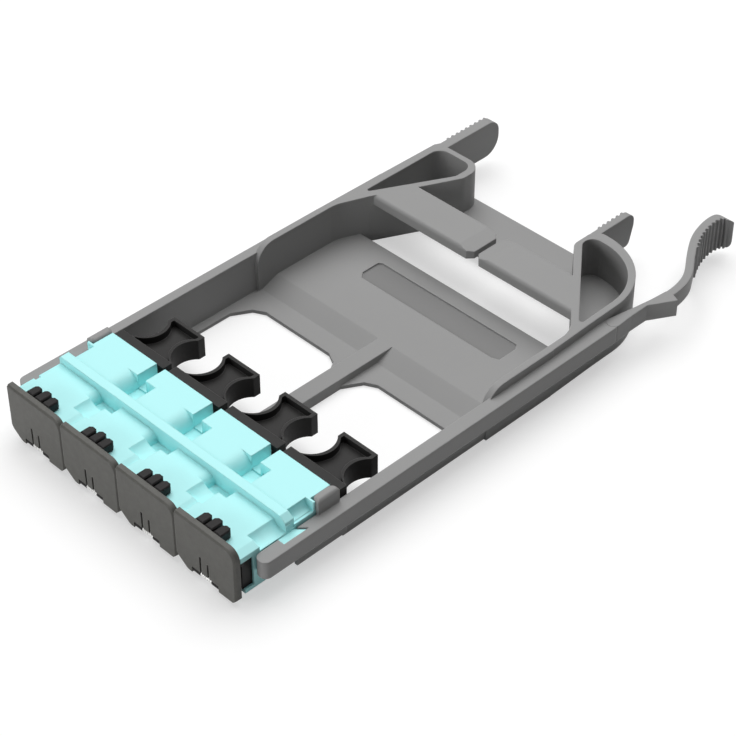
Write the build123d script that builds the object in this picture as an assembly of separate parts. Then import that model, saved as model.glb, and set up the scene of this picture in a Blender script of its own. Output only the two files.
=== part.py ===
from build123d import *
import math
import os

# MPO fibre adapter panel: a moulded tray with four shuttered fibre ports across its front.
# X runs across the tray, Y from the shutters to the release lever, Z up. Millimetres.

# Driving dimensions
port_count = 4
port_pitch = 16.0
end_margin = 0.4
block_half = port_count * port_pitch / 2 - end_margin
front_edge = -71.98
side_shift = -1.425

# Levels above the underside of the tray
rail_under = 5.9
rail_top = 9.8
wall_top = 11.7
pan_top = 0.8
deck_top = 2.5
deck_thickness = 0.9
block_bottom = 1.9
front_roof = 11.3
rear_roof = 12.7
rib_top = 12.9

# Side rails and tub walls
left_rail_gap = 1.25
left_rail_width = 2.2
right_rail_gap = 0.3
right_rail_width = 3.0
wall_thickness = 1.5
left_wall_gap = 0.15
right_wall_lap = 0.74
left_rail_inner = -block_half - left_rail_gap
left_rail_outer = left_rail_inner - left_rail_width
right_rail_inner = block_half + right_rail_gap
right_rail_outer = right_rail_inner + right_rail_width
left_wall_inner = -block_half - left_wall_gap
left_wall_outer = left_wall_inner - wall_thickness
right_wall_inner = block_half - right_wall_lap
right_wall_outer = right_wall_inner + wall_thickness
rail_nose = 4.4
left_rail_end = 102.2
tub_start = 63.5
tub_nose_radius = 4.5
rail_end = 97.6
tray_front = 26.0
tray_rear = 117.6

# Floor of the tray
window_front = 31.0
window_rear = 59.7
window_margin = 1.1
window_side = block_half - window_margin
spine_half = 1.95
ramp_foot = 64.3
ramp_head = 68.7
slot_front = 90.8
slot_rear = 103.4
label_front = 80.2
label_rear = 86.8
label_half = 19.7
label_depth = 0.35

# Retaining tabs
tab_front = 93.6
tab_rear = 102.4
tab_thickness = 2.4
tab_gap = 1.1
tab_ramp = 4.0
tab_fall = 0.9

# Hooks over the ends of the block
hook_reach = 1.2
hook_overhang = 0.8
hook_inner = block_half - hook_reach
hook_outer = block_half + hook_overhang
hook_front = 19.6
hook_rear = 24.8
hook_under = 10.65
hook_top = 13.2

# Adapter block
roof_start = 1.7
side_start = 4.6
rib_front = 12.5
rib_rear = 14.5
rib_left = -block_half - 0.3
rib_right = block_half - 0.2
left_flange = block_half + 0.7
right_flange = block_half + 1.7
block_rear = 24.4
groove = 2.4
pocket_rear = 19.6
step_y = 6.0
ledge_y = 10.0
ledge_z = 10.0
valley_z = 9.1
rear_valley_z = 9.3

# Ports, from the mouth to the narrow passage that holds the latch clip
bore_wall = 1.7
bore_half = port_pitch / 2 - bore_wall
bore_bottom = 2.65
bore_top = 10.35
bore_corner = 1.5
mouth_wall = 0.9
mouth_half = port_pitch / 2 - mouth_wall
mouth_bottom = 2.5
mouth_top = 10.6
mouth_end = 5.7
passage_start = 9.4
passage_end = 19.7
passage_bottom = 2.9
passage_top = 8.4

# Shutters
door_gap = 0.13
door_half = port_pitch / 2 - door_gap
door_bottom = 0.85
door_top = 13.1
door_thickness = 1.4
axle_y = 0.75
axle_z = 1.5
axle_radius = 0.3
knuckle_radius = 0.65
hinge_shift = -0.3
knuckle_half = 3.45
coil_half = 1.5
wire = 0.13
turns = 6
coil_sides = 16

# Dust plugs
plug_nose = 20.0
plug_flange_top = 11.2
plug_flange_bottom = 3.0
plug_flange_front = 25.4
plug_flange_rear = 27.6
plug_gap = 1.4
plug_flange_width = port_pitch - plug_gap
grip_rim = 9.9
grip_floor = 8.3
grip_bottom = 5.2
grip_rear = 38.3
grip_half = 4.45
waist_half = 2.9

# Release lever
pivot_x = (right_rail_inner + right_rail_outer) / 2
pivot_y = 98.6
root_radius = 1.45
seat_gap = 0.06
lever_tip = 143.96
paddle_low = 1.9


def box(x0, x1, y0, y1, z0, z1):
    return Pos((x0 + x1) / 2, (y0 + y1) / 2, (z0 + z1) / 2) * Box(abs(x1 - x0), y1 - y0, z1 - z0)


def rod_x(x0, x1, y, z, radius):
    return Pos((x0 + x1) / 2, y, z) * Rot(0, 90, 0) * Cylinder(radius, x1 - x0)


def rod_z(x, y, z0, z1, radius):
    return Pos(x, y, (z0 + z1) / 2) * Cylinder(radius, z1 - z0)


def slab(points, z0, z1):
    face = make_face(Polyline(*points, close=True))
    return extrude(Pos(0, 0, z0) * face, z1 - z0, dir=(0, 0, 1))


def side_slab(points, x0, x1):
    # an outline in Y and Z pushed across in X
    face = make_face(Polyline(*[(x0, y, z) for y, z in points], close=True))
    return extrude(face, x1 - x0, dir=(1, 0, 0))


def end_slab(points, y0, y1):
    # an outline in X and Z pushed back in Y
    face = make_face(Polyline(*[(x, y0, z) for x, z in points], close=True))
    return extrude(face, y1 - y0, dir=(0, 1, 0))


def raise_face(face, z0, z1):
    return extrude(Pos(0, 0, z0) * face, z1 - z0, dir=(0, 0, 1))


def join(pieces):
    total = pieces[0]
    for piece in pieces[1:]:
        total = total + piece
    return total


def port_x(k):
    return (k - (port_count - 1) / 2) * port_pitch


def left(offset):
    # X at an offset from the left end of the adapter block
    return offset - block_half


def right(offset):
    # X at an offset from the right end of the adapter block
    return block_half + offset


# Tray


def left_loop_outline():
    # teardrop loop behind the left wall, seen from above
    shape = make_face(Polyline(
        (left_wall_outer, 80), (left(-1.5), 96.0), (left(-1.2), 116.4), (left(-0.6), tray_rear),
        (left(12.1), tray_rear), (left(12.1), 111.6), (left(7.7), 102.6), (left(2.7), 92.6),
        (left_wall_inner, 85.5), (left_wall_inner, 80), close=True))
    shape = fillet([v for v in shape.vertices() if v.X > left(11.6) and v.Y > 115], 3.8)
    shape = fillet([v for v in shape.vertices() if v.X > left(11.1) and abs(v.Y - 111.6) < 0.3], 2.6)
    return fillet([v for v in shape.vertices() if abs(v.Y - 85.5) < 0.1 and v.X > left(-0.4)], 7.0)


def left_loop_pocket():
    shape = make_face(Polyline((left(0.6), 92.6), (left(0.6), 116.3), (left(10.4), 116.3), (left(10.4), 111.0),
                               close=True))
    shape = fillet([v for v in shape.vertices() if v.Y > 115], 2.6)
    shape = fillet([v for v in shape.vertices() if abs(v.Y - 111.0) < 0.1], 2.2)
    return fillet([v for v in shape.vertices() if v.Y < 93], 0.45)


def right_loop_outline():
    # D-shaped loop behind the right wall
    shape = make_face(Polyline(
        (right_wall_outer, 80), (right(0.35), 95.0), (right(0.1), 117.5), (right(-19.1), 117.5),
        (right(-19.1), 110.6), (right(-12.3), 102.5), (right(-4.0), 92.5), (right_wall_inner, 88.6),
        (right_wall_inner, 80), close=True))
    shape = fillet([v for v in shape.vertices() if v.X > right(-0.6) and v.Y > 115], 16.4)
    shape = fillet([v for v in shape.vertices() if v.X < right(-18.6)], 2.6)
    return fillet([v for v in shape.vertices() if abs(v.Y - 88.6) < 0.1], 7.0)


def right_loop_pocket():
    shape = make_face(Polyline((right(-0.9), 91.2), (right(-1.4), 115.2), (right(-20.7), 115.2), close=True))
    shape = fillet([v for v in shape.vertices() if v.X > right(-2.6) and v.Y > 100], 14.0)
    shape = fillet([v for v in shape.vertices() if v.X < right(-19.6)], 2.3)
    return fillet([v for v in shape.vertices() if v.Y < 92], 0.6)


def window(x0, x1):
    # each corner is cut by two short facets
    y0 = window_front
    y1 = window_rear
    return slab([(x0, y0 + 5.5), (x0, y1 - 5.5), (x0 + 2.4, y1 - 1.35), (x0 + 5.0, y1),
                 (x1 - 5.0, y1), (x1 - 2.4, y1 - 1.35), (x1, y1 - 5.5), (x1, y0 + 5.5),
                 (x1 - 2.4, y0 + 1.35), (x1 - 5.0, y0), (x0 + 5.0, y0), (x0 + 2.4, y0 + 1.35)],
                -1, pan_top + 1)


def tray_floor():
    pan = slab([(left(-1.6), tray_front), (block_half, tray_front), (block_half, ramp_foot),
                (left(-1.6), ramp_foot)], 0, pan_top)
    pan = pan - window(-window_side, -spine_half) - window(spine_half, window_side)
    ramp = side_slab([(ramp_foot - 0.6, 0), (ramp_foot - 0.6, pan_top), (ramp_foot, pan_top),
                      (ramp_head, deck_top), (ramp_head + 0.2, deck_top),
                      (ramp_head + 0.2, deck_top - deck_thickness), (ramp_foot + 0.7, 0)],
                     left_wall_inner - 0.5, right_wall_inner + 0.5)
    deck = slab([(left_wall_inner - 0.5, ramp_head), (right_wall_inner + 0.5, ramp_head),
                 (right_wall_inner + 0.5, 90), (right(-11.6), 104), (right(-16.6), tray_rear),
                 (left(9.6), tray_rear), (left_wall_inner - 0.5, 100)], deck_top - deck_thickness, deck_top)
    slot = slab([(left(1.4), slot_front), (right(-1.6), slot_front), (right(-12.0), slot_rear),
                 (left(7.4), slot_rear)], -1, deck_top + 1)
    label = slab([(-label_half, label_front + 1.5), (-label_half, label_rear - 0.6),
                  (-label_half + 0.8, label_rear), (label_half - 0.8, label_rear),
                  (label_half, label_rear - 1.3), (label_half, label_front + 0.6),
                  (label_half - 1.6, label_front), (-label_half + 1.2, label_front)],
                 deck_top - label_depth, deck_top + 1)
    spine = box(-spine_half, spine_half, tray_front, ramp_head + 0.2, 0, deck_top)
    return pan + ramp + (deck - slot - label) + spine


def tub_wall(x0, x1):
    # the nose of the wall is a quarter round in side view
    wall = box(x0, x1, tub_start, 82, 0, wall_top)
    nose = [e for e in wall.edges()
            if abs(e.center().Y - tub_start) < 0.01 and abs(e.center().Z - wall_top) < 0.01]
    return fillet(nose, tub_nose_radius)


def loop(outline, pocket):
    ring = raise_face(outline, 0, wall_top) - raise_face(pocket, deck_top, wall_top + 1)
    return ring - raise_face(pocket, -1, deck_top - deck_thickness)


def left_rail():
    lower = end_slab([(left(-0.7), 0), (left_rail_inner, rail_top), (left(-2.3), rail_top),
                      (left(-2.3), rail_under), (left(-1.8), 0)], tray_front, rail_end)
    guide = box(left_rail_outer, left_rail_inner, rail_nose, left_rail_end, rail_under, rail_top)
    prong = box(left_rail_inner - 0.2, left(-0.25), rail_nose, tray_front, rail_under, rail_top)
    front = [e for e in guide.edges().filter_by(Axis.Z)
             if e.center().Y < rail_nose + 0.1 and e.center().X < left_rail_outer + 0.1]
    skirt = box(left(-1.8), left(-0.4), 14.0, tray_front + 0.2, 1.4, rail_under + 0.5)
    behind = box(left_wall_outer - 0.9, left_wall_inner, tub_start, 98.0, 0, rail_under + 0.2)
    kept = box(left(-4.4), left(1.6), 0, tub_start + 1, -1, 20)
    return fillet(front, 1.5) + prong + lower.intersect(kept) + skirt + behind


def right_rail():
    guide = box(right_rail_inner, right_rail_outer, rail_nose, pivot_y, rail_under, rail_top)
    front = [e for e in guide.edges().filter_by(Axis.Z) if e.center().Y < rail_nose + 0.1]
    guide = fillet(front, 1.35)
    # round seat for the root of the lever
    guide = guide - rod_z(pivot_x, pivot_y, 0, 20, root_radius + seat_gap)
    guide = guide - box(pivot_x - 1.2, right(4.4), pivot_y - 0.7, pivot_y + 3, 0, 20)
    lower = end_slab([(right(-1.1), 0), (right(-1.1), pan_top), (right(-0.15), 2.4), (right(-0.1), rail_under),
                      (right_rail_inner, rail_top), (right(1.2), rail_top), (right(1.1), rail_under),
                      (right(0.2), 0)], tray_front, 95.0)
    skirt = box(right(0.25), right(1.0), 14.0, tray_front + 0.2, 1.4, rail_under + 0.5)
    heel = side_slab([(94.8, 0), (97.2, 0), (99.2, rail_under - 1.0), (99.2, rail_under + 0.3),
                      (94.8, rail_under + 0.3)], right(-0.6), right(0.3))
    return guide + lower + skirt + heel


def hold_down(side):
    # domed hook that reaches from the rail over the end of the adapter block
    post = box(side * (block_half + 0.05), side * hook_outer, hook_front, hook_rear, rail_top - 0.6, hook_top)
    lip = box(side * hook_inner, side * hook_outer, hook_front, hook_rear, hook_under, hook_top)
    hook = post + lip
    upright = [e for e in hook.edges().filter_by(Axis.Z) if abs(e.center().X) < hook_inner + 0.1]
    hook = fillet(upright, 1.2)
    crown = [e for e in hook.edges() if abs(e.center().Z - hook_top) < 0.01]
    return fillet(crown, 0.7)


def tab(side):
    x_tip = side * tab_gap / 2
    x_front = left(2.7) if side < 0 else right(-4.4)
    x_rear = left(7.0) if side < 0 else right(-11.0)
    points = [(x_front, tab_front), (x_tip + side * 1.2, tab_front), (x_tip, tab_front + 1.3),
              (x_tip, tab_rear - 1.0), (x_tip + side * 0.9, tab_rear), (x_rear, tab_rear)]
    body = slab(points, wall_top - tab_thickness, wall_top)
    fall = end_slab([(side * tab_ramp, wall_top), (x_tip - side, wall_top - tab_fall),
                     (x_tip - side, wall_top + 1), (side * tab_ramp, wall_top + 1)],
                    tab_front - 1, tab_rear + 1)
    body = body - fall
    near = [e for e in body.edges() if abs(e.center().Y - tab_front) < 0.05
            and e.center().Z > wall_top - 0.5 and e.length > 3]
    return fillet(near, 0.8)


def thumb_paddle(x_face, x_back, y_low, y_high, z_low, low_round, high_round, y_first, rib_count, rib_pitch):
    # upright plate behind a loop, with ribs down its left face
    z_bend = wall_top - 3.2
    plate = side_slab([(115.8, z_low), (y_low, z_low), (y_high, z_bend), (y_high, wall_top),
                       (115.8, wall_top)], x_back, x_face)
    low_end = [e for e in plate.edges().filter_by(Axis.X)
               if e.center().Y > y_low - 0.1 and e.center().Z < z_low + 0.1]
    plate = fillet(low_end, low_round)
    high_end = [e for e in plate.edges().filter_by(Axis.X)
                if e.center().Y > y_high - 0.1 and e.center().Z > wall_top - 0.1]
    plate = fillet(high_end, high_round)
    limit = Pos(-1.0, 0, 0) * plate
    for i in range(rib_count):
        y = y_first + i * rib_pitch
        rib = slab([(x_back + 0.2, y - 0.45), (x_back - 0.38, y - 0.2), (x_back - 0.38, y + 0.2),
                    (x_back + 0.2, y + 0.45)], z_low, wall_top)
        plate = plate + rib.intersect(limit)
    return plate


def frame():
    body = tray_floor()
    body = body + tub_wall(left_wall_outer, left_wall_inner) + tub_wall(right_wall_inner, right_wall_outer)
    body = body + loop(left_loop_outline(), left_loop_pocket())
    body = body + loop(right_loop_outline(), right_loop_pocket())
    body = body + left_rail() + right_rail()
    body = body + hold_down(-1) + hold_down(1)
    body = body + tab(-1) + tab(1)
    body = body + thumb_paddle(left(1.65), left(-0.6), 134.1, 134.1, 3.2, 4.2, 3.1, 120.2, 9, 1.45)
    body = body + thumb_paddle(right(-17.5), right(-19.05), 126.7, 127.9, 3.9, 1.2, 2.0, 118.6, 6, 1.42)
    # seats for the flange at either end of the block
    start = block_half - 0.2
    for side, reach in ((-1, left_flange + 0.3), (1, right_flange + 0.1)):
        seat = slab([(side * start, 10.3), (side * reach, 10.3), (side * reach, 14.3 + reach - start),
                     (side * start, 14.3)], rail_top - 1.1, rail_top + 1)
        body = body - seat
    return body


# Release lever


def lever():
    arm = make_face(Polyline(
        (pivot_x - root_radius, pivot_y), (pivot_x - 0.25, 104.7), (pivot_x + 0.55, 109.7),
        (pivot_x + 0.95, 113.6), (pivot_x + 2.6, 113.9), (pivot_x + 4.5, 113.1), (pivot_x + 1.25, 107.5),
        (pivot_x + 1.2, 102.8), (pivot_x + root_radius, pivot_y), close=True))
    root = rod_z(pivot_x, pivot_y, rail_under, rail_top, root_radius)
    path = Spline((pivot_x + 1.75, 112.0), (pivot_x + 1.7, 117.0), (pivot_x + 0.6, 120.9),
                  (pivot_x - 1.8, 124.7), (pivot_x - 4.5, 128.8), (pivot_x - 6.5, 132.6),
                  (pivot_x - 7.65, 136.6), (pivot_x - 7.95, 139.8), (pivot_x - 7.4, 142.0),
                  (pivot_x - 5.7, 143.1))
    half = 0.85
    left = []
    right = []
    steps = 20
    for i in range(steps + 1):
        t = i / steps
        p = path @ t
        d = path % t
        left.append((p.X - d.Y * half, p.Y + d.X * half))
        right.append((p.X + d.Y * half, p.Y - d.X * half))
    tip = path @ 1
    side_a = Spline(*left)
    side_b = Spline(*right)
    strip = make_face([side_a, Line(left[-1], right[-1]), side_b, Line(right[0], left[0])])
    full = raise_face(strip, paddle_low, rail_top) + rod_z(tip.X, tip.Y, paddle_low, rail_top, half)
    ribs = []
    rib_count = 11
    for i in range(rib_count):
        t = 0.56 + 0.425 * i / (rib_count - 1)
        p = path @ t
        d = path % t
        points = []
        for along, out in ((-0.42, half - 0.15), (-0.17, half + 0.4), (0.17, half + 0.4), (0.42, half - 0.15)):
            points.append((p.X + d.Y * out + d.X * along, p.Y - d.X * out + d.Y * along))
        ribs.append(slab(points, paddle_low, rail_top))
    full = join([full] + ribs)
    # seen from the side, the strip deepens into a paddle with rounded corners
    keep = side_slab([(100, rail_under), (126.0, rail_under), (127.2, paddle_low), (lever_tip, paddle_low),
                      (lever_tip, rail_top), (100, rail_top)], pivot_x - 23.4, pivot_x + 16.6)
    low_corner = [e for e in keep.edges().filter_by(Axis.X)
                  if e.center().Y > lever_tip - 0.1 and e.center().Z < paddle_low + 0.1]
    keep = fillet(low_corner, 3.5)
    high_corner = [e for e in keep.edges().filter_by(Axis.X)
                   if e.center().Y > lever_tip - 0.1 and e.center().Z > rail_top - 0.1]
    keep = fillet(high_corner, 3.0)
    heel = [e for e in keep.edges().filter_by(Axis.X)
            if abs(e.center().Y - 127.2) < 0.1 and e.center().Z < paddle_low + 0.1]
    keep = fillet(heel, 1.6)
    return raise_face(arm, rail_under, rail_top) + root + full.intersect(keep)


# Adapter block


def run_out(x_high, x_low, y0, y1, z_high, z_low):
    # what is cleared above a flank that falls steeply and runs out level
    run = x_low - x_high
    drop = z_high - z_low
    radius = (run * run + drop * drop) / (2 * drop)
    half_turn = math.asin(abs(run) / radius) / 2
    x_mid = x_low - math.copysign(radius * math.sin(half_turn), run)
    z_mid = z_low + radius * (1 - math.cos(half_turn))
    face = make_face([
        ThreePointArc((x_high, y0, z_high), (x_mid, y0, z_mid), (x_low, y0, z_low)),
        Line((x_low, y0, z_low), (x_low, y0, z_high + 1)),
        Line((x_low, y0, z_high + 1), (x_high, y0, z_high + 1)),
        Line((x_high, y0, z_high + 1), (x_high, y0, z_high))])
    return extrude(face, y1 - y0, dir=(0, 1, 0))


def roll_off(x, y0, y1, z_roof, radius):
    # what is cleared outside a roof edge that rolls over to an upright flank
    flank = box(x, x + radius, y0, y1, z_roof - radius, z_roof + 1)
    return flank - Pos(x, (y0 + y1) / 2, z_roof - radius) * Rot(90, 0, 0) * Cylinder(radius, y1 - y0 + 2)


def front_shell():
    body = box(-block_half, block_half, side_start, rib_front + 1.0, block_bottom, front_roof)
    body = body + box(-block_half, block_half, roof_start, side_start + 0.1, front_roof - 1.7, front_roof)
    body = body + box(-block_half, block_half, roof_start + 0.75, side_start + 0.1,
                      block_bottom, block_bottom + 0.9)
    body = body + box(-block_half, block_half, rib_front, rib_rear, block_bottom, rail_top + 0.2)
    body = body + end_slab([(rib_left, rail_top - 0.2), (rib_left, rib_top - 0.4), (rib_left + 0.4, rib_top),
                            (rib_right - 1.4, rib_top), (rib_right, rib_top - 1.0), (rib_right, rail_top - 0.2)],
                           rib_front, rib_rear)
    for side, reach in ((-1, left_flange), (1, right_flange)):
        # flange that drops into the seat in the side rail
        start = block_half - 0.1
        body = body + slab([(side * start, 10.4), (side * reach, 10.4), (side * reach, 14.2 + reach - start),
                            (side * start, 14.2)], rail_top - 1.0, rail_top - 0.3)
    body = body - run_out(right(-3.2), right(-0.7), step_y + 0.2, rib_front, front_roof, 9.8)
    body = body - box(right(-0.7), right(0.4), step_y + 0.2, rib_front, 9.8, front_roof + 1)
    body = body - box(left(-0.4), left(0.6), step_y, step_y + 1.2, front_roof - 0.7, front_roof + 1)
    for k in range(1, port_count):
        # valley between two ports: a ledge in front, a deep pocket against the rib
        b = port_x(k) - port_pitch / 2
        body = body - run_out(b - 3.7, b - 0.9, step_y, ledge_y, front_roof, ledge_z)
        body = body - box(b - 0.9, b + 0.7, step_y, ledge_y, ledge_z, front_roof + 1)
        body = body - roll_off(b - 5.4, ledge_y, rib_front, front_roof, front_roof - valley_z)
        body = body - box(b - 5.4 + front_roof - valley_z, b + 2.7, ledge_y, rib_front,
                          valley_z, front_roof + 1)
    for k in range(port_count):
        # the roof of each port slopes down to its right-hand end
        b = port_x(k) + port_pitch / 2
        edge = min(b, block_half)
        y_end = step_y if k < port_count - 1 else step_y + 0.2
        body = body - end_slab([(edge - 1.65, front_roof), (edge, front_roof - 0.6), (edge, front_roof + 0.5),
                                (edge - 1.65, front_roof + 0.5)], roof_start - 0.1, y_end)
    for k in range(port_count):
        x = port_x(k)
        body = body - box(x - mouth_half, x + mouth_half, 1.0, mouth_end, mouth_bottom, mouth_top)
        body = body - end_slab([(x - bore_half, bore_bottom), (x + bore_half, bore_bottom),
                                (x + bore_half, bore_top - bore_corner), (x + bore_half - bore_corner, bore_top),
                                (x - bore_half + bore_corner, bore_top), (x - bore_half, bore_top - bore_corner)],
                               mouth_end - 0.1, passage_start)
        body = body - box(x - bore_half, x + bore_half, passage_start - 0.1, rib_rear + 1,
                          passage_bottom, passage_top)
        body = body - box(x + hinge_shift - 3.6, x + hinge_shift + 3.6, 1.0, 3.0,
                          block_bottom - 1, block_bottom + 2)
    return body


def rear_shell():
    body = box(-block_half, block_half, rib_rear, block_rear, block_bottom, rear_roof)
    for k in range(1, port_count):
        b = port_x(k) - port_pitch / 2
        body = body - box(b - groove / 2, b + groove / 2, pocket_rear - 0.1, block_rear + 1, 9.6, 20)
        body = body - box(b - 1.2, b + 4.1, rib_rear - 1, pocket_rear, rear_valley_z, 20)
        body = body - roll_off(b - 4.2, rib_rear - 1, pocket_rear, rear_roof, 3.0)
    for side in (-1, 1):
        body = body - run_out(side * right(-2.0), side * right(-0.6), rib_rear - 1, 19.1, rear_roof, 10.6)
        body = body - box(side * right(-0.6), side * right(0.4), rib_rear - 1, 19.1, 10.5, 20)
        body = body - box(side * (hook_inner - 0.06), side * right(0.4), hook_front - 0.06, block_rear + 1,
                          hook_under - 0.06, 20)
    for k in range(port_count):
        x = port_x(k)
        body = body - box(x - bore_half, x + bore_half, rib_rear - 1, passage_end, passage_bottom, passage_top)
        body = body - box(x - bore_half, x + bore_half, passage_end - 0.1, block_rear + 1,
                          bore_bottom, bore_top)
    return body


# Shutters


def shutter_housing(x):
    # black frame inside the mouth of a port, with two knuckles for the shutter's axle
    shell = box(x - mouth_half + 0.1, x + mouth_half - 0.1, 2.4, mouth_end - 0.2,
                mouth_bottom + 0.1, mouth_top - 0.1)
    shell = shell - box(x - mouth_half + 1.05, x + mouth_half - 1.05, 1.0, mouth_end, 3.1, 10.05)
    mid = x + hinge_shift
    for x0, x1 in ((mid - knuckle_half, mid - coil_half - 0.05), (mid + coil_half + 0.05, mid + knuckle_half)):
        arm = box(x0, x1, axle_y - knuckle_radius, 2.9, axle_z - knuckle_radius, axle_z + knuckle_radius)
        nose = [e for e in arm.edges().filter_by(Axis.X) if e.center().Y < axle_y]
        shell = shell + fillet(nose, knuckle_radius - 0.02) + box(x0, x1, 2.2, 2.9, axle_z, 3.1)
    shell = shell + box(x - mouth_half - 0.3, x + mouth_half + 0.3, 1.75, 2.5, 8.7, 9.5)
    return shell - rod_x(mid - 4, mid + 4, axle_y, axle_z, axle_radius + 0.03)


def shutter_door(x):
    plate = end_slab([(x - door_half, 2.9), (x - door_half, door_top), (x + door_half, door_top),
                      (x + door_half, door_bottom + 0.9), (x + door_half - 0.9, door_bottom),
                      (x - 5.0, door_bottom)], 0, door_thickness)
    corner = [e for e in plate.edges().filter_by(Axis.Y)
              if e.center().X > x + door_half - 0.1 and e.center().Z > door_top - 0.1]
    plate = fillet(corner, 2.3)
    foot = [e for e in plate.edges().filter_by(Axis.Y)
            if e.center().X < x - 4.9 and e.center().Z < 3.0]
    plate = fillet(foot, 1.6)
    brow = [e for e in plate.edges()
            if e.center().Y < 0.01 and e.center().Z > door_top - 1.5 and e.length > 2.5]
    plate = chamfer(brow, 0.4)
    # mouth for the knuckles and the coil, slot for the spring's leg, and a groove beside it
    mid = x + hinge_shift
    plate = plate - box(mid - knuckle_half - 0.1, mid + knuckle_half + 0.1, -1, 2,
                        0, axle_z + knuckle_radius + 0.1)
    plate = plate - box(x - 1.65, x - 1.15, -1, 2, 2, 6.2)
    plate = plate - box(x + 0.35, x + 0.85, -1, 0.35, 2, 5.6)
    return plate - rod_x(mid - 5.0, mid + 5.0, axle_y, axle_z, axle_radius + 0.03)


def finger_tab(x):
    # three staggered ribs on a foot behind the top of the shutter
    foot = box(x - 3.7, x + 2.9, door_thickness, 2.3, front_roof + 0.2, 12.6)
    tab_top = 13.3
    for x0, y1 in ((x - 3.75, 4.1), (x - 1.4, 4.5), (x + 0.95, 4.2)):
        bar = box(x0, x0 + 2.0, door_thickness, y1, front_roof + 0.25, tab_top)
        ends = [e for e in bar.edges().filter_by(Axis.Z) if e.center().Y > y1 - 0.1]
        bar = chamfer(ends, 0.55)
        crown = [e for e in bar.edges() if e.center().Z > tab_top - 0.05]
        foot = foot + chamfer(crown, 0.25)
    return foot


def hinge_pin(x):
    mid = x + hinge_shift
    return rod_x(mid - 4.95, mid + 4.95, axle_y, axle_z, axle_radius)


def collar(x0, x1, radius):
    # many-sided disc round the axle
    face = Plane((x0, axle_y, axle_z), x_dir=(0, 1, 0), z_dir=(1, 0, 0)) * RegularPolygon(radius, coil_sides)
    return extrude(face, x1 - x0, dir=(1, 0, 0))


def torsion_spring(x):
    # close turns round the pin, with one leg up the shutter and one back under the frame
    mid = x + hinge_shift
    inner = axle_radius + 0.06
    crest = inner + 2 * wire
    pitch = 2 * coil_half / turns
    coil = collar(mid - coil_half, mid + coil_half, crest - wire * 0.7)
    for i in range(turns):
        start = mid - coil_half + i * pitch
        coil = coil + collar(start + 0.15 * pitch, start + 0.85 * pitch, crest)
    coil = coil - collar(mid - coil_half - 1, mid + coil_half + 1, inner)
    door_leg = Pos(x - 1.4, axle_y, axle_z + 0.35 + 2.1) * Cylinder(wire, 4.2)
    foot_place = Pos(mid + coil_half - 0.3, axle_y + 0.55, axle_z + crest - wire)
    foot_leg = foot_place * Rot(90, 0, 0) * Cylinder(wire, 1.1)
    return coil + door_leg + foot_leg


# Inside each port


def latch_clip(x):
    # carrier in the middle of a port with two spring hooks on either face
    mid = (passage_bottom + passage_top) / 2
    plate = box(x - bore_half + 0.1, x + bore_half - 0.1, 13.6, 15.0, passage_bottom + 0.1, passage_top - 0.1)
    plate = plate - box(x - 3.9, x + 3.9, 13, 16, mid - 2.2, mid + 2.2)
    for side in (-1, 1):
        for end in (-1, 1):
            y0 = 14.3
            y1 = 14.3 + end * 4.3
            arm = box(x + side * 5.3, x + side * 4.6, min(y0, y1), max(y0, y1), mid - 1.3, mid + 1.3)
            barb = box(x + side * 5.3, x + side * 4.1, min(y1, y1 - end * 0.9), max(y1, y1 - end * 0.9),
                       mid - 1.3, mid + 1.3)
            plate = plate + arm + barb
    return plate


def plug_side(x, half_foot, half_waist, half_end, y_foot, y_waist, y_shoulder, y_end):
    # outline of the grip, drawn in at the waist
    return make_face([
        Line((x - half_foot, y_foot - 0.1), (x + half_foot, y_foot - 0.1)),
        Line((x + half_foot, y_foot - 0.1), (x + half_foot, y_foot + 1.0)),
        ThreePointArc((x + half_foot, y_foot + 1.0), (x + half_waist, y_waist), (x + half_end, y_shoulder)),
        Line((x + half_end, y_shoulder), (x + half_end, y_end)),
        Line((x + half_end, y_end), (x - half_end, y_end)),
        Line((x - half_end, y_end), (x - half_end, y_shoulder)),
        ThreePointArc((x - half_end, y_shoulder), (x - half_waist, y_waist), (x - half_foot, y_foot + 1.0)),
        Line((x - half_foot, y_foot + 1.0), (x - half_foot, y_foot - 0.1))])


def dust_plug(x):
    stem = box(x - bore_half + 0.3, x + bore_half - 0.3, plug_nose, plug_flange_front + 0.1,
               bore_bottom + 0.5, bore_top - 0.5)
    stem = stem - box(x - bore_half + 1.5, x + bore_half - 1.5, plug_nose - 1, 23.4,
                      bore_bottom + 1.6, bore_top - 1.6)
    flange = box(x - plug_flange_width / 2, x + plug_flange_width / 2, plug_flange_front, plug_flange_rear,
                 plug_flange_bottom, plug_flange_top)
    waist_y = (plug_flange_rear + grip_rear) / 2 + 0.2
    rim = 0.75
    outline = plug_side(x, 5.9, waist_half, grip_half, plug_flange_rear, waist_y, grip_rear - 1.6, grip_rear)
    well = plug_side(x, 5.9 - rim, waist_half - rim, grip_half - rim, plug_flange_rear + 0.1, waist_y,
                     grip_rear - 1.6, grip_rear - rim)
    grip = raise_face(outline, grip_bottom, grip_rim) - raise_face(well, grip_floor, grip_rim + 1)
    return stem + flange + grip


# Write every piece in the shared frame


def save(shape, name):
    shape = Pos(side_shift, front_edge, 0) * shape
    solids = shape.solids()
    whole = solids[0] if len(solids) == 1 else Compound(children=solids)
    export_step(whole, "parts/" + name + ".step")
    size = shape.bounding_box().size
    print(name, len(solids), "solids", round(size.X, 2), round(size.Y, 2), round(size.Z, 2))


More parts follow.
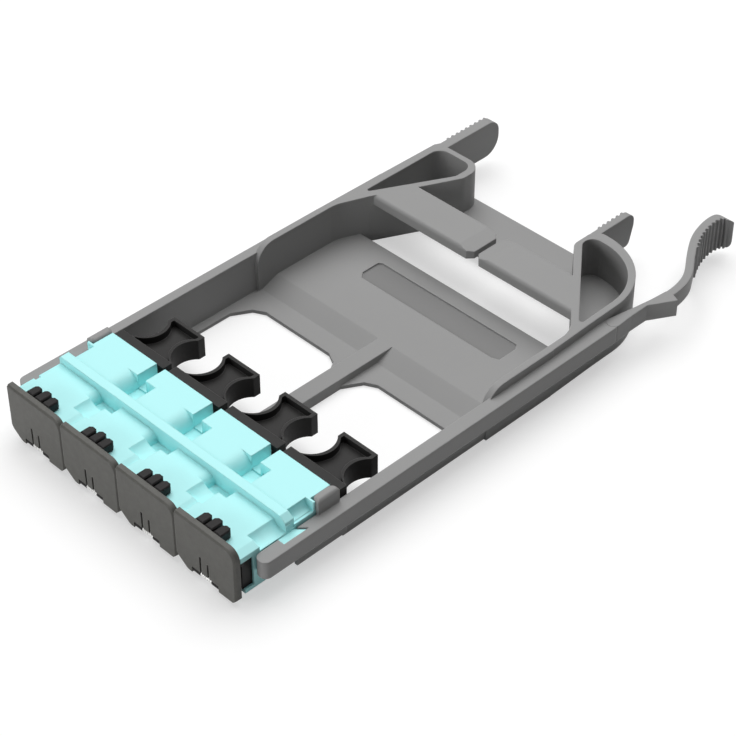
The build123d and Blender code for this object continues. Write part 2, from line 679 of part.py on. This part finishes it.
os.makedirs("parts", exist_ok=True)
save(frame(), "frame")
save(lever(), "release_lever")
save(front_shell(), "adapter_front_shell")
save(rear_shell(), "adapter_rear_shell")
for k in range(port_count):
    number = str(k + 1)
    save(shutter_housing(port_x(k)), "shutter_housing_" + number)
    save(shutter_door(port_x(k)), "shutter_door_" + number)
    save(finger_tab(port_x(k)), "finger_tab_" + number)
    save(hinge_pin(port_x(k)), "hinge_pin_" + number)
    save(torsion_spring(port_x(k)), "torsion_spring_" + number)
    save(latch_clip(port_x(k)), "latch_clip_" + number)
    save(dust_plug(port_x(k)), "dust_plug_" + number)
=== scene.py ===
import math

import bpy
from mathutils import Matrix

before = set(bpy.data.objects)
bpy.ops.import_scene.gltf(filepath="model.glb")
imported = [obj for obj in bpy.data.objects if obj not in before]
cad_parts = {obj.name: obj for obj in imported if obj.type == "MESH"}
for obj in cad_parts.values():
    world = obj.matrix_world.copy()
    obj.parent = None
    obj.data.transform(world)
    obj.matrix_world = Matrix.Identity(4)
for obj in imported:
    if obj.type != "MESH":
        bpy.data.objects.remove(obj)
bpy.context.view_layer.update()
bpy.ops.object.select_all(action="DESELECT")


# The studio: a pale sheet under the tray, a broad lamp above the rear left, a weak
# low one in front, and the photographer's camera. The sheet glows only to the camera
# and in gloss, more with distance, so that it runs into the air, which is white there.
class Wire:
    # one socket of a node tree, which arithmetic joins to new Math nodes
    def __init__(self, owner, socket):
        self.owner = owner
        self.socket = socket

    def math(self, operation, first, second):
        return self.owner.node("ShaderNodeMath", {"operation": operation}, {0: first, 1: second})

    def __add__(self, other):
        return self.math("ADD", self, other)

    def __sub__(self, other):
        return self.math("SUBTRACT", self, other)

    def __mul__(self, other):
        return self.math("MULTIPLY", self, other)

    def __rsub__(self, other):
        return self.math("SUBTRACT", other, self)

    __radd__ = __add__
    __rmul__ = __mul__


class NodeTree:
    # a node tree with its shader, and the one way in which nodes are added to it
    def __init__(self, tree, shader_name):
        self.tree = tree
        self.shader = tree.nodes[shader_name]

    def node(self, kind, settings, inputs, output=0):
        made = self.tree.nodes.new(kind)
        for key, value in settings.items():
            setattr(made, key, value)
        for key, value in inputs.items():
            if isinstance(value, Wire):
                self.tree.links.new(value.socket, made.inputs[key])
            else:
                made.inputs[key].default_value = value
        return Wire(self, made.outputs[output])

    def wire(self, socket, value):
        self.tree.links.new(value.socket, self.shader.inputs[socket])


class Finish(NodeTree):
    # a material, with the place of each point on it and a mix of two colours
    def __init__(self, name, roughness, metallic=0.0, specular=0.5):
        self.material = bpy.data.materials.new(name)
        self.material.use_nodes = True
        super().__init__(self.material.node_tree, "Principled BSDF")
        self.shader.inputs["Roughness"].default_value = roughness
        self.shader.inputs["Metallic"].default_value = metallic
        self.shader.inputs["Specular IOR Level"].default_value = specular
        self.place = self.node("ShaderNodeTexCoord", {}, {}, "Object")

    def blend(self, factor, first, second):
        return self.node("ShaderNodeMix", {"data_type": "RGBA"}, {0: factor, 6: first, 7: second}, 2)


sheet_size = 4.0
sheet_drop = 0.00005    # keeps the sheet clear of the tray's own underside
near_reach, near_glow = 0.35, 0.52    # metres from the tray's middle, and the glow there
far_reach, far_glow = 1.6, 0.95
black = (0.0, 0.0, 0.0, 1)

pale_sheet = Finish("pale_sheet", roughness=0.9)
pale_sheet.shader.inputs["Base Color"].default_value = (0.50, 0.50, 0.50, 1)
pale_sheet.shader.inputs["Emission Strength"].default_value = 1.0
seen = pale_sheet.node("ShaderNodeLightPath", {}, {}, "Is Camera Ray")
mirrored = pale_sheet.node("ShaderNodeLightPath", {}, {}, "Is Glossy Ray")
shown = pale_sheet.node("ShaderNodeMath", {"operation": "MAXIMUM"}, {0: seen, 1: mirrored})
from_tray = pale_sheet.node("ShaderNodeVectorMath", {"operation": "LENGTH"}, {0: pale_sheet.place}, "Value")
glow = pale_sheet.node("ShaderNodeMapRange", {},
                       {"Value": from_tray, "From Min": near_reach, "From Max": far_reach,
                        "To Min": near_glow, "To Max": far_glow}, "Result")
pale_sheet.wire("Emission Color", pale_sheet.blend(shown, black, glow))

bpy.ops.mesh.primitive_plane_add(size=sheet_size, location=(0, 0, -sheet_drop))
studio_floor = bpy.context.object
studio_floor.name = "studio_floor"
studio_floor.data.materials.append(pale_sheet.material)
bpy.ops.object.select_all(action="DESELECT")

air_light, air_white = 0.11, 1.0    # on the tray, and to the camera
world = bpy.data.worlds.new("studio_air")
bpy.context.scene.world = world
world.use_nodes = True
air = NodeTree(world.node_tree, "Background")
air.shader.inputs["Color"].default_value = (1.0, 1.0, 1.0, 1)
air_seen = air.node("ShaderNodeLightPath", {}, {}, "Is Camera Ray")
air.wire("Strength", air.node("ShaderNodeMapRange", {},
                              {"Value": air_seen, "To Min": air_light, "To Max": air_white}, "Result"))

for lamp_name, lamp_place, lamp_size, lamp_power in (
        ("lamp_rear", (-0.30, 0.40, 1.15), 1.5, 20.8),
        ("lamp_front", (-0.24, -1.32, 0.32), 0.7, 8.0)):
    bpy.ops.object.light_add(type="AREA", location=lamp_place)
    lamp = bpy.context.object
    lamp.name = lamp_name
    lamp.data.size = lamp_size
    lamp.data.energy = lamp_power
    aim = -lamp.location
    lamp.rotation_euler = aim.to_track_quat("-Z", "Y").to_euler()

camera_place = (0.233387, -0.239289, 0.273377)
camera_turn = (50.181, 0.068, 45.402)
bpy.ops.object.camera_add(location=camera_place, rotation=[math.radians(turn) for turn in camera_turn])
camera = bpy.context.object
camera.data.lens = 105.06
camera.data.sensor_width = 36.0
camera.data.clip_start = 0.01
bpy.context.scene.camera = camera
bpy.context.scene.view_settings.view_transform = "Standard"
bpy.ops.object.select_all(action="DESELECT")


# The tray and its lever: one grey glass-filled moulding with a fine spark-eroded
# skin, a little paler along its edges, partly where the skin is rubbed smooth and
# partly as a painted highlight. The floor of the label recess is coloured darker.
def noise(finish, scale, detail, rough):
    return finish.node("ShaderNodeTexNoise", {},
                       {"Vector": finish.place, "Scale": scale, "Detail": detail, "Roughness": rough})


def within(finish, middle, reach):
    # 1 in a box round a point, and 0 outside it
    found = 1.0
    for axis, centre, half in zip("XYZ", middle, reach):
        along = finish.node("ShaderNodeSeparateXYZ", {}, {0: finish.place}, axis)
        found = found * finish.node("ShaderNodeMath", {"operation": "COMPARE"},
                                    {0: along, 1: centre, 2: half})
    return found


def moulded(name, colour, pale, dark, roughness, grain_scale, grain_depth, edge_radius, specular,
            cloud_scale=45.0, sunken=None):
    # a moulded plastic: cloudy tone, edges paler partly from wear and partly as a painted
    # highlight, a fine grain, and in a sunken patch, given by its middle, reach and colour, a darker tone
    edge_wear_and_highlight_rate = 3.0          # how fast an edge pales as its soft normal leans
    grain_swing = 0.14     # from the smoothest to the roughest spot
    rubbed_polish = 0.1    # how much smoother a rubbed edge is
    grain_strength = 0.35
    finish = Finish(name, roughness, specular=specular)

    soft = finish.node("ShaderNodeBevel", {"samples": 6}, {"Radius": edge_radius})
    true = finish.node("ShaderNodeNewGeometry", {}, {}, "Normal")
    lean = finish.node("ShaderNodeVectorMath", {"operation": "DOT_PRODUCT"}, {0: soft, 1: true}, "Value")
    # an edge mask: it makes edges a little smoother, and paints them paler as partly wear, partly a painted
    # highlight
    worn_and_highlit_edge = finish.node("ShaderNodeMath", {"operation": "MULTIPLY", "use_clamp": True},
                         {0: 1.0 - lean, 1: edge_wear_and_highlight_rate})

    tone = finish.blend(noise(finish, cloud_scale, 3.0, 0.55), dark, colour)
    if sunken:
        middle, reach, shade = sunken
        tone = finish.blend(within(finish, middle, reach), tone, shade)
    # the edges are painted paler: partly wear, partly a painted highlight
    finish.wire("Base Color", finish.blend(worn_and_highlit_edge, tone, pale))

    grain = noise(finish, grain_scale, 2.0, 0.6)
    smoothest = roughness - grain_swing / 2
    finish.wire("Roughness", grain * grain_swing + smoothest - worn_and_highlit_edge * rubbed_polish)
    finish.wire("Normal", finish.node("ShaderNodeBump", {},
                                      {"Height": grain, "Strength": grain_strength,
                                       "Distance": grain_depth, "Normal": soft}))
    return finish.material


def dress(material, *names):
    # gives CAD nodes their finish
    for name in names:
        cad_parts[name].material_slots[0].material = material


# the floor of the label recess is coloured darker, in label_shade
label_middle = (-0.001425, 0.01152, 0.00215)
label_reach = (0.0198, 0.0034, 0.0001)
label_shade = (0.205, 0.204, 0.203, 1)
grey_moulding = moulded(
    "grey_moulding", colour=(0.302, 0.301, 0.300, 1), pale=(0.44, 0.439, 0.438, 1),
    dark=(0.282, 0.281, 0.280, 1), roughness=0.58, grain_scale=2600.0, grain_depth=0.00003,
    edge_radius=0.0004, specular=0.3, sunken=(label_middle, label_reach, label_shade))
dress(grey_moulding, "frame", "release_lever")


# The adapter block: two aqua mouldings pressed together behind the rib, with a
# sprung latch clip in each port, all in a smooth, faintly glossy plastic that
# carries the colour right through.
# its paler edges are partly wear and partly a painted highlight
aqua_moulding = moulded(
    "aqua_moulding", colour=(0.475, 0.92, 0.93, 1), pale=(0.52, 0.95, 0.955, 1),
    dark=(0.465, 0.91, 0.92, 1), roughness=0.45, grain_scale=1800.0, grain_depth=0.00002,
    edge_radius=0.00025, specular=0.3)
dress(aqua_moulding, "adapter_front_shell", "adapter_rear_shell",
      "latch_clip_1", "latch_clip_2", "latch_clip_3", "latch_clip_4")


# The shutters: dark grey doors on steel pins, each closed by a wire coil, in
# black mouth frames, with three black bars to push the door open by.
# both shutter finishes have paler edges: partly wear, partly a painted highlight along tops and corners
shutter_moulding = moulded(
    "shutter_moulding", colour=(0.118, 0.117, 0.107, 1), pale=(0.235, 0.232, 0.220, 1),
    dark=(0.076, 0.075, 0.068, 1), roughness=0.45, grain_scale=2600.0, grain_depth=0.00003,
    edge_radius=0.00025, specular=0.3, cloud_scale=700.0)
black_moulding = moulded(
    "black_moulding", colour=(0.019, 0.018, 0.018, 1), pale=(0.035, 0.035, 0.035, 1),
    dark=(0.016, 0.015, 0.015, 1), roughness=0.5, grain_scale=2200.0, grain_depth=0.00002,
    edge_radius=0.0002, specular=0.18)

drawn_swing, drawn_smoothest = 0.2, 0.24
bright_wire = Finish("bright_wire", roughness=0.3, metallic=0.75)
bright_wire.shader.inputs["Base Color"].default_value = (0.93, 0.93, 0.92, 1)
bright_wire.wire("Roughness", noise(bright_wire, 900.0, 2.0, 0.5) * drawn_swing + drawn_smoothest)

for number in ("1", "2", "3", "4"):
    dress(shutter_moulding, "shutter_door_" + number)
    dress(black_moulding, "shutter_housing_" + number, "finger_tab_" + number)
    dress(bright_wire.material, "hinge_pin_" + number, "torsion_spring_" + number)


# The dust plugs: soft black caps with an hourglass grip, whose matt skin
# shows a slight sheen on its crowned faces, and whose edges carry a painted highlight.
plug_moulding = moulded(
    "plug_moulding", colour=(0.032, 0.031, 0.030, 1), pale=(0.12, 0.119, 0.118, 1),
    dark=(0.026, 0.025, 0.025, 1), roughness=0.55, grain_scale=2400.0, grain_depth=0.00003,
    edge_radius=0.0003, specular=0.2)
dress(plug_moulding, "dust_plug_1", "dust_plug_2", "dust_plug_3", "dust_plug_4")
